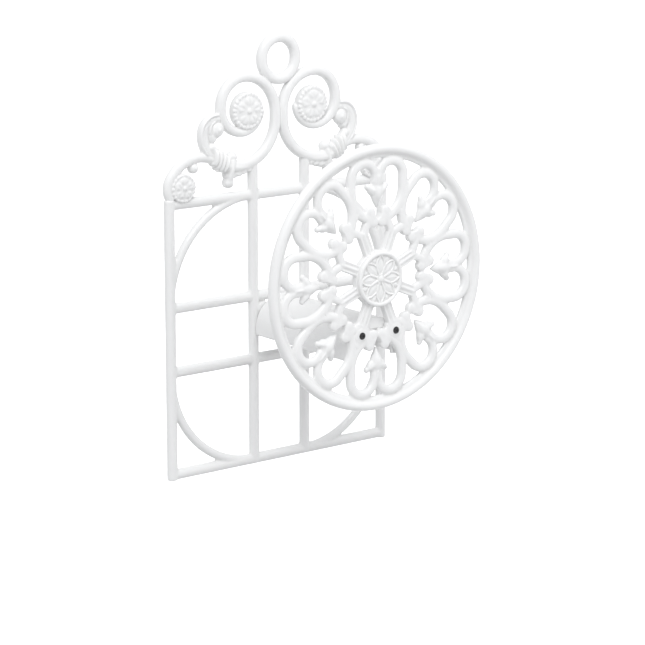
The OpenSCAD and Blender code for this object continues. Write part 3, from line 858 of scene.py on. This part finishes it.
def spoke_section():
    """Front: 0.80 + 0.16 exp(-(u/0.30)^2) for the ridge + 0.10 exp(-((|u| - 0.80)/0.16)^2) for
    the edges, and the last tenth of the width rounds down to 0.65 of that."""
    u = np.linspace(1, -1, 41)
    v = 0.80 + 0.16*np.exp(-(u/0.30)**2) + 0.10*np.exp(-((np.abs(u) - 0.80)/0.16)**2)
    v *= np.clip((1 - np.abs(u))/0.10, 0, 1)**0.4*0.35 + 0.65
    back = np.array([[-1, 0.12], [-0.9, 0.02], [0, 0], [0.9, 0.02], [1, 0.12]])
    return np.vstack([np.c_[u, v], back])


def spoke(turn):
    """A spoke from inside the hub into the inner corner of its knuckle."""
    start, stop = HUB_R - 4, KNUCKLE_U - 9
    return on_disc(rod(line(start, 0, stop, 0), 11.4, 7.8, sec=spoke_section()), turn)


print("knuckles at %.1f mm from the disc's centre" % KNUCKLE_U)


# %% Knuckles
def arm_taper(s):
    """The outer half of an arm narrows: the width is 1 - 0.6 (s - 0.5) there."""
    return 1.0 - 0.6*np.maximum(0, s - 0.5), 1.0


def knuckle(turn, filled):
    """Four bars of a diamond, two arms with two lobes each, and the filling under a screw."""
    half, plain, k = 12.4, section(0.78), KNUCKLE_U
    out = []
    for v in (-1, 1):
        for u in (-1, 1):
            out.append(rod(line(k + u*half, 0, k, v*half), 7.8, 7.0, sec=plain))
            out.append(dome(k + u*5.2, v*16.4, r=5.6, y0=0, h=1.7, wall=5.6))
        out.append(rod(line(k, v*7.5, k, v*21.4, step=0.8), 16.4, 7.2, sec=plain, taper=arm_taper,
                       soft=(2, 1)))
    if filled:
        out.append(rod(line(k - 11, 0, k + 11, 0), 17, 7.2, sec=plain))
    return [on_disc(s, turn) for s in out]


print("solids of a knuckle:", len(knuckle(0, False)))


# %% The whole spider
def spider_solids():
    """The hub, the spokes and knuckles midway between the hearts, and a boss under each screw."""
    out = [on_disc(dome(0, 0, HUB_R, 0, 0.6, wall=HUB_T - 0.8, n=90))]
    for i in range(HEARTS):
        turn = 360/HEARTS*(i + 0.5)
        out.append(spoke(turn))
        out += knuckle(turn, i in FILLED)
    for s in (-1, 1):
        boss = dome(0, 0, r=8.0, y0=0, h=0.9, wall=HUB_T - 1.1, n=40)
        out.append(moved(boss, dx=s*SCREW_DX, dy=DISC_Y, dz=SCREW_Z))
    return out


spider = casting("disc_spider_casting", spider_solids(), grid=0.65, relax=3)

# %% [markdown]
# ## Medallion
#
# The hub carries a medallion in low relief: a raised ring, eight broad pointed petals inside
# raised outlines, short points between their ends, and a button. An outline is a pair of arcs,
# because a petal of this kind is where two circles overlap.


# %% Medallion
def petal_outline(at=13.4, reach=20.0, bulge=5.0):
    """Two arcs over a chord of length reach that rise by bulge. Their radius is
    ((reach/2)^2 + bulge^2)/(2 bulge), and they span asin(reach/2/radius) to both sides."""
    radius = ((reach/2)**2 + bulge**2)/(2*bulge)
    spread = math.degrees(math.asin(reach/2/radius))
    return [arc(at, -m*(radius - bulge), radius, 90*m - spread, 90*m + spread, 0.6) for m in (-1, 1)]


def medallion_solids(petals=8):
    """Base plate, ring, button, and for each petal a lens, its outline and the point beside it."""
    y = HUB_T + 0.4
    out = [dome(0, 0, HUB_R - 0.6, HUB_T - 0.6, 0.5, wall=1.2, n=90),
           rod(ring_path(0, 0, 25.2), 4.2, 3.4, closed=True, back=HUB_T),
           dome(0, 0, 4.2, y, 3.2)]
    for i in range(petals):
        turn = 360/petals*i
        one = [petal(13.4, 0, 0, 18.5, 9.4, y, 1.5, keel=0.25, tip=0.9)]
        one += [rod(edge, 1.9, 2.1, back=y, soft=(1.5, 1.5)) for edge in petal_outline()]
        out += [moved(s, turn=turn) for s in one]
        out.append(moved(petal(20.2, 0, 0, 7.5, 5.0, y, 1.8, tip=1.2), turn=turn + 180/petals))
    return [on_disc(s) for s in out]


medallion = casting("disc_medallion_relief", medallion_solids(), grid=0.40, relax=1)

# %% [markdown]
# ## Screws
#
# Two dark screws hold the disc to the saddle, and two more the saddle to the frame from
# behind. They are small and sharp against the white, and a remeshed skin would blur them, so they
# stay turned pieces: a shank, and a low head with a round socket.


# %% Screws
def screw(x, z, seat, tip):
    """A profile of (radius, height over the seat) from the socket over the head to the tip."""
    out = 1 if tip < seat else -1
    head = [(0.02, 1.3), (1.0, 1.3), (1.1, 2.35), (1.5, 2.55), (2.8, 2.3), (3.4, 1.6),
            (HEAD_R, 0.7), (HEAD_R, 0), (2.0, -0.1)]
    profile = [(q, seat + out*h) for q, h in head] + [(2.0, tip), (0.02, tip)]
    return lathe(profile, x, z, n=48)


front_seat, front_tip = DISC_Y + HUB_T - 1.2, SADDLE_Y1 - 5.5
rear_seat, rear_tip = 3.0, SADDLE_Y0 + 5.5
screws = to_mesh("black_screws", [screw(s*SCREW_DX, SCREW_Z, seat, tip)
                                  for seat, tip in ((front_seat, front_tip), (rear_seat, rear_tip))
                                  for s in (-1, 1)])
screws.data.polygons.foreach_set("use_smooth", np.ones(len(screws.data.polygons), bool))
screws.data.update()
print("screws: %.1f mm long in front, %.1f behind" % (front_seat - front_tip, rear_tip - rear_seat))

# %% [markdown]
# ## White enamel
#
# The castings are painted with a thick glossy enamel. It fills the grain of the sand only partly,
# and its gloss varies slowly. Hollows are painted a little greyer: painted shade, where less light
# would reach. A painted picture would have to be unwrapped over every scroll. Noise needs no
# unwrapping, and it keeps its scale because it reads object coordinates, which are metres. Hollows
# come from each casting's attribute.


# %% Nodes
def node(tree, kind, inputs=(), **settings):
    """A new shader node with its settings, and with constants on some of its sockets."""
    new = tree.nodes.new(kind)
    for name, value in settings.items():
        setattr(new, name, value)
    for name, value in dict(inputs).items():
        new.inputs[name].default_value = value
    return new


def noise(tree, where, scale, detail):
    """The factor of a noise texture, from 0 to 1, at a place in metres."""
    new = node(tree, "ShaderNodeTexNoise", {"Scale": scale, "Detail": detail})
    tree.links.new(where, new.inputs["Vector"])
    return new.outputs["Fac"]


def stretched(tree, value, **limits):
    """A value mapped in a straight line from one range to another."""
    sockets = {name.replace("_", " ").title(): v for name, v in limits.items()}
    new = node(tree, "ShaderNodeMapRange", sockets)
    tree.links.new(value, new.inputs["Value"])
    return new.outputs["Result"]


def combined(tree, operation, a, b):
    """A math node on two links."""
    new = node(tree, "ShaderNodeMath", operation=operation)
    tree.links.new(a, new.inputs[0])
    tree.links.new(b, new.inputs[1])
    return new.outputs["Value"]


# %% Enamel
GRAIN = ((160, 0.30, 0.0007), (520, 0.22, 0.00035), (1500, 0.12, 0.00015))


def sand_grain(tree, where, strength):
    """Bumps on bumps: (scale of the noise, strength, height in metres), from orange peel down to
    the grain of the sand."""
    normal = None
    for scale, share, height in GRAIN:
        bump = node(tree, "ShaderNodeBump", {"Strength": share*strength, "Distance": height})
        tree.links.new(noise(tree, where, scale, 3), bump.inputs["Height"])
        if normal is not None:
            tree.links.new(normal, bump.inputs["Normal"])
        normal = bump.outputs["Normal"]
    return normal


def enamel(name, base, hollow, rough, grain, coat):
    """The colour goes from base to hollow, a painted shade, by crease times cloud, where crease is 0
    up to an attribute of 0.50 and 1 from 0.80 on. The roughness is rough - 0.06 to rough + 0.14 by
    the same cloud."""
    material = bpy.data.materials.new(name)
    material.use_nodes = True
    tree = material.node_tree
    shader = tree.nodes["Principled BSDF"]
    where = node(tree, "ShaderNodeTexCoord").outputs["Object"]
    mark = node(tree, "ShaderNodeAttribute", attribute_name="crease").outputs["Fac"]
    crease = stretched(tree, mark, from_min=0.50, from_max=0.80)
    cloud = noise(tree, where, 22, 4)
    # Painted shade: deep creases turn the white towards the grey of the hollows.
    colour = node(tree, "ShaderNodeMix", {"A": (*base, 1), "B": (*hollow, 1)}, data_type="RGBA")
    tree.links.new(combined(tree, "MULTIPLY", crease, cloud), colour.inputs["Factor"])
    tree.links.new(colour.outputs["Result"], shader.inputs["Base Color"])
    gloss = stretched(tree, cloud, to_min=rough - 0.06, to_max=rough + 0.14)
    tree.links.new(gloss, shader.inputs["Roughness"])
    tree.links.new(sand_grain(tree, where, grain), shader.inputs["Normal"])
    shader.inputs["Coat Weight"].default_value = coat
    shader.inputs["Coat Roughness"].default_value = 0.18
    print("%-14s %2d nodes" % (name, len(tree.nodes)))
    return material


# %% Painting the pieces
# The middle colour is painted shade, the warm grey that the white enamel takes in its hollows.
WHITE, HOLLOW_SHADE, INK = (0.87, 0.87, 0.865), (0.62, 0.61, 0.59), (0.006, 0.006, 0.007)
white = enamel("white_enamel", WHITE, HOLLOW_SHADE, rough=0.30, grain=1.0, coat=0.25)
black = enamel("black_enamel", INK, INK, rough=0.55, grain=0.5, coat=0.0)


def paint(obj, material):
    """Makes that material the only one of an object."""
    obj.data.materials.clear()
    obj.data.materials.append(material)


for obj in (plate, crest_right, crest_left, ring, saddle, grille, spider, medallion):
    paint(obj, white)
paint(screws, black)
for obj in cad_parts.values():
    paint(obj, white)

# %% [markdown]
# ## What each piece stands for
#
# Nothing on the holder moves, so each piece rides on the one body. Every piece says which packed
# nodes it stands for, and these are hidden.

# %% Riding and replacing
SIDES = ("left", "right")
CREST = ("volute", "rosette", "collar", "leaf_curl", "leaf_spray", "shoulder_scroll", "shoulder_rosette")
stands_for = {
    plate: ["left_side_bar", "right_side_bar", "top_rail", "upper_mid_rail", "lower_mid_rail",
            "bottom_rail", "left_inner_bar", "right_inner_bar"]
           + ["%s_%s_corner_arc" % (level, side) for level in ("top", "bottom") for side in SIDES],
    crest_left: ["left_" + name for name in CREST],
    crest_right: ["right_" + name for name in CREST],
    ring: ["hanging_eye"],
    saddle: ["saddle"],
    grille: ["disc_rim"] + ["heart_scroll_%d" % (i + 1) for i in range(HEARTS)],
    spider: ["disc_spider"],
    medallion: ["disc_medallion"],
    screws: ["frame_screws", "disc_screws"],
}
for obj, names in stands_for.items():
    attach(obj, "root")
    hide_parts(*names)
print("pieces: %d, nodes they stand for: %d" % (len(stands_for), sum(map(len, stands_for.values()))))

# %% [markdown]
# ## Floor
#
# White on white shows only by its shading, so the object can't be lit from all sides alike.
# The floor looks nearly white to the camera and in reflections, and is grey to the light that
# falls on the object. Its shadow side then keeps some tone.


# %% Floor
def shown(tree):
    """A factor that is 1 for rays from the camera, off a gloss or through glass, and else 0."""
    rays = node(tree, "ShaderNodeLightPath")
    clear = combined(tree, "MAXIMUM", rays.outputs["Is Camera Ray"], rays.outputs["Is Glossy Ray"])
    return combined(tree, "MAXIMUM", clear, rays.outputs["Is Transmission Ray"])


def choose(tree, hidden, seen, output):
    """Sends one of two shaders to the output: seen where shown() is 1, and else hidden."""
    pick = node(tree, "ShaderNodeMixShader")
    tree.links.new(shown(tree), pick.inputs["Fac"])
    tree.links.new(hidden, pick.inputs[1])
    tree.links.new(seen, pick.inputs[2])
    tree.links.new(pick.outputs["Shader"], tree.nodes[output].inputs["Surface"])


def paper():
    """Dull grey for the object, pale with a little light of its own for the camera."""
    material = bpy.data.materials.new("paper")
    material.use_nodes = True
    tree = material.node_tree
    dull = tree.nodes["Principled BSDF"]
    dull.inputs["Base Color"].default_value = (0.42, 0.42, 0.42, 1)
    dull.inputs["Roughness"].default_value = 0.95
    bright = node(tree, "ShaderNodeBsdfPrincipled", {
        "Base Color": (0.95, 0.95, 0.95, 1), "Roughness": 0.95,
        "Emission Color": (1, 1, 1, 1), "Emission Strength": 0.62})
    choose(tree, dull.outputs["BSDF"], bright.outputs["BSDF"], "Material Output")
    return material


FLOOR_Z, FLOOR_HALF = -0.47, 6
corners = [(x*FLOOR_HALF, y*FLOOR_HALF, FLOOR_Z) for x, y in ((-1, -1), (1, -1), (1, 1), (-1, 1))]
floor_mesh = bpy.data.meshes.new("floor")
floor_mesh.from_pydata(corners, [], [(0, 1, 2, 3)])
floor = bpy.data.objects.new("floor", floor_mesh)
bpy.context.collection.objects.link(floor)
paint(floor, paper())
print("floor: %.0f mm under the bottom rail" % (-FLOOR_Z/MM - EYE_Z))

# %% [markdown]
# ## Room light
#
# The room is a soft white box that is brightest up in front on the left. Its strength follows the
# direction of a ray, so undersides and flanks come out a little darker than fronts. Rays that show
# the background see plain white.

# %% Room light
BRIGHT_SIDE = (-0.40, -0.66, 0.64)
world = bpy.data.worlds.new("room")
bpy.context.scene.world = world
world.use_nodes = True
room = world.node_tree
lit = room.nodes["Background"]
lit.inputs["Color"].default_value = (0.93, 0.94, 0.96, 1)
ray = node(room, "ShaderNodeTexCoord").outputs["Generated"]
facing = node(room, "ShaderNodeVectorMath", operation="DOT_PRODUCT")
facing.inputs[1].default_value = BRIGHT_SIDE
room.links.new(ray, facing.inputs[0])
strength = stretched(room, facing.outputs["Value"], from_min=-1, from_max=1, to_min=0.46, to_max=1.05)
room.links.new(strength, lit.inputs["Strength"])
plain = node(room, "ShaderNodeBackground", {"Color": (1, 1, 1, 1), "Strength": 1.0})
choose(room, lit.outputs["Background"], plain.outputs["Background"], "World Output")
print("room: %d nodes" % len(room.nodes))

# %% [markdown]
# ## Lamps
#
# A large square lamp on the upper left draws the highlights, and a weak one on the right opens the
# shadows. Small lamps would cast hard shadows, and strong ones would clip the pale enamel.


# %% Lamps
def lamp(name, place, aim, width, power):
    """A square area lamp that faces the point aim. Its -Z axis points along aim - place."""
    data = bpy.data.lights.new(name, "AREA")
    data.size, data.energy = width, power
    obj = bpy.data.objects.new(name, data)
    obj.location = place
    obj.rotation_euler = (Vector(aim) - Vector(place)).to_track_quat("-Z", "Y").to_euler()
    bpy.context.collection.objects.link(obj)
    print("%-5s %.1f m away, %d W" % (name, (Vector(aim) - Vector(place)).length, power))


CENTRE = (0, -0.05, -0.2)
lamp("key", (-0.9, -1.3, 2.0), CENTRE, 1.2, 26)
lamp("fill", (1.7, -1.7, 0.4), CENTRE, 1.6, 6)

# %% [markdown]
# ## Camera
#
# The camera stands to the left of the holder and above it, far off with a long lens. It could be
# placed by eye, but was fitted to the straight bars of the frame. The focal length is known in
# pixels, and one pixel is the sensor's width over the picture's.

# %% Camera
PICTURE_PX, FOCAL_PX, SENSOR = 645, 2608.85, 36
PAN, TILT = math.radians(38.16), math.radians(12.74)
lens = bpy.data.cameras.new("camera")
lens.sensor_width = SENSOR
lens.lens = FOCAL_PX*SENSOR/PICTURE_PX
lens.clip_end = 50
camera = bpy.data.objects.new("camera", lens)
camera.location = (-1.57075, -2.07386, 0.72546 - EYE_Z*MM)
ahead = Vector((math.sin(PAN)*math.cos(TILT), math.cos(PAN)*math.cos(TILT), -math.sin(TILT)))
camera.rotation_euler = ahead.to_track_quat("-Z", "Y").to_euler()
bpy.context.collection.objects.link(camera)
bpy.context.scene.camera = camera
bpy.context.scene.view_settings.view_transform = "Standard"
print("lens of %.0f mm, %.2f m from the wall" % (lens.lens, -camera.location.y))
